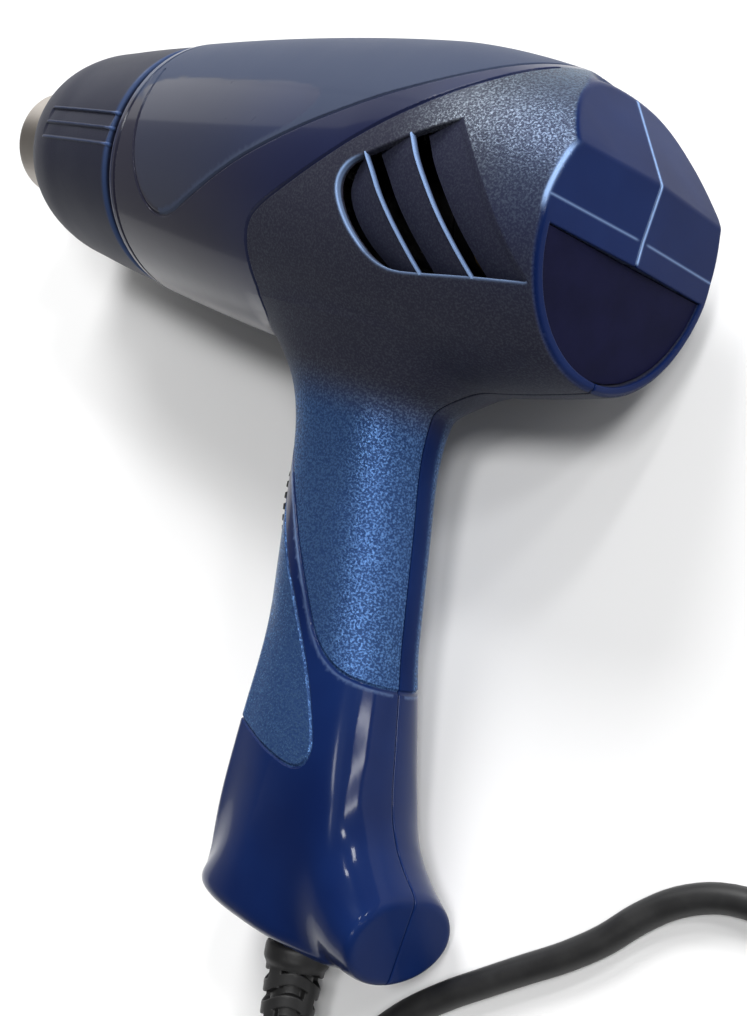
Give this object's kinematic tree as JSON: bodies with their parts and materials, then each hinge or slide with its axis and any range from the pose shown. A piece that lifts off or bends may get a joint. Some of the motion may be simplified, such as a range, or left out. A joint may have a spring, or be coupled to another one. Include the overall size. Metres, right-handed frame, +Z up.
{
  "type": "hot air tool",
  "caption": "Pistol-shaped hot air tool with a steel nozzle tube, twist-off heat shield, flat tail to stand on and coiled mains lead.",
  "frame": {"origin": "centre of the tool's bounding box without its lead, at the floor that the tool lies on", "axes": "+Z is up from the floor, on which the tool lies on its right side; +X runs near the barrel's axis, from the nozzle to the tail; +Y runs near the tool's own up, from the handle to the barrel"},
  "size_m": [0.4239, 0.3755, 0.0871],
  "materials": {
    "navy_plastic": "glossy and textured areas",
    "shield_plastic": "matt",
    "plate_plastic": "satin",
    "black_plastic": "satin",
    "black_rubber": "matt",
    "nozzle_steel": "heat-tinted",
    "zinc_steel": "zinc plated",
    "mica_board": "matt",
    "heater_wire": "dull",
    "white_nylon": "satin",
    "circuit_board": "satin",
    "brass": "bare"
  },
  "bodies": {
    "housing": {"left_housing": "navy_plastic", "right_housing": "navy_plastic", "rating_plate": "plate_plastic", "motor_mount": "black_plastic", "rectifier_diode_1": "black_plastic", "rectifier_diode_2": "black_plastic", "rectifier_diode_3": "black_plastic", "rectifier_diode_4": "black_plastic", "switch_body": "black_plastic", "cord_clamp": "black_plastic", "plug_body": "black_plastic", "strain_relief": "black_rubber", "lead_inner_end": "black_rubber", "cord_lead": "black_rubber", "cord_coil": "black_rubber", "cord_tail": "black_rubber", "nozzle_tube": "nozzle_steel", "housing_screw_1": "zinc_steel", "housing_screw_2": "zinc_steel", "housing_screw_3": "zinc_steel", "housing_screw_4": "zinc_steel", "housing_screw_5": "zinc_steel", "housing_screw_6": "zinc_steel", "housing_screw_7": "zinc_steel", "housing_screw_8": "zinc_steel", "clamp_screw_1": "zinc_steel", "clamp_screw_2": "zinc_steel", "nozzle_flange": "zinc_steel", "motor_can": "zinc_steel", "mica_sleeve": "mica_board", "element_boards": "mica_board", "element_disc_front": "mica_board", "element_disc_rear": "mica_board", "heating_coil": "heater_wire", "thermal_cutout": "white_nylon", "motor_end_cap": "white_nylon", "suppression_capacitor": "white_nylon", "terminal_block": "white_nylon", "rectifier_board": "circuit_board", "motor_bush_front": "brass", "motor_bush_rear": "brass", "switch_tab_left": "brass", "switch_tab_right": "brass", "mains_core_live": "brass", "mains_core_neutral": "brass", "plug_pin_left": "brass", "plug_pin_right": "brass"},
    "shield": {"heat_shield": "shield_plastic"},
    "fan": {"fan_wheel": "white_nylon", "motor_shaft": "zinc_steel"},
    "switch": {"switch_slider": "black_plastic", "switch_lever": "white_nylon"}
  },
  "joints": [
    {"name": "fan_spin", "type": "hinge", "parent": "housing", "child": "fan", "pos_m": [0.02865, 0.09018, 0.04226], "axis": [0.9987, -0.004, 0.0499], "continuous": true},
    {"name": "shield_twist", "type": "hinge", "parent": "housing", "child": "shield", "pos_m": [-0.04925, 0.09049, 0.03837], "axis": [-0.9987, 0.004, -0.0499], "range_deg": [0, 22]},
    {"name": "switch_slide", "type": "slide", "parent": "housing", "child": "switch", "axis": [-0.2722, 0.9519, 0.1405], "range_m": [0, 0.012]}
  ]
}
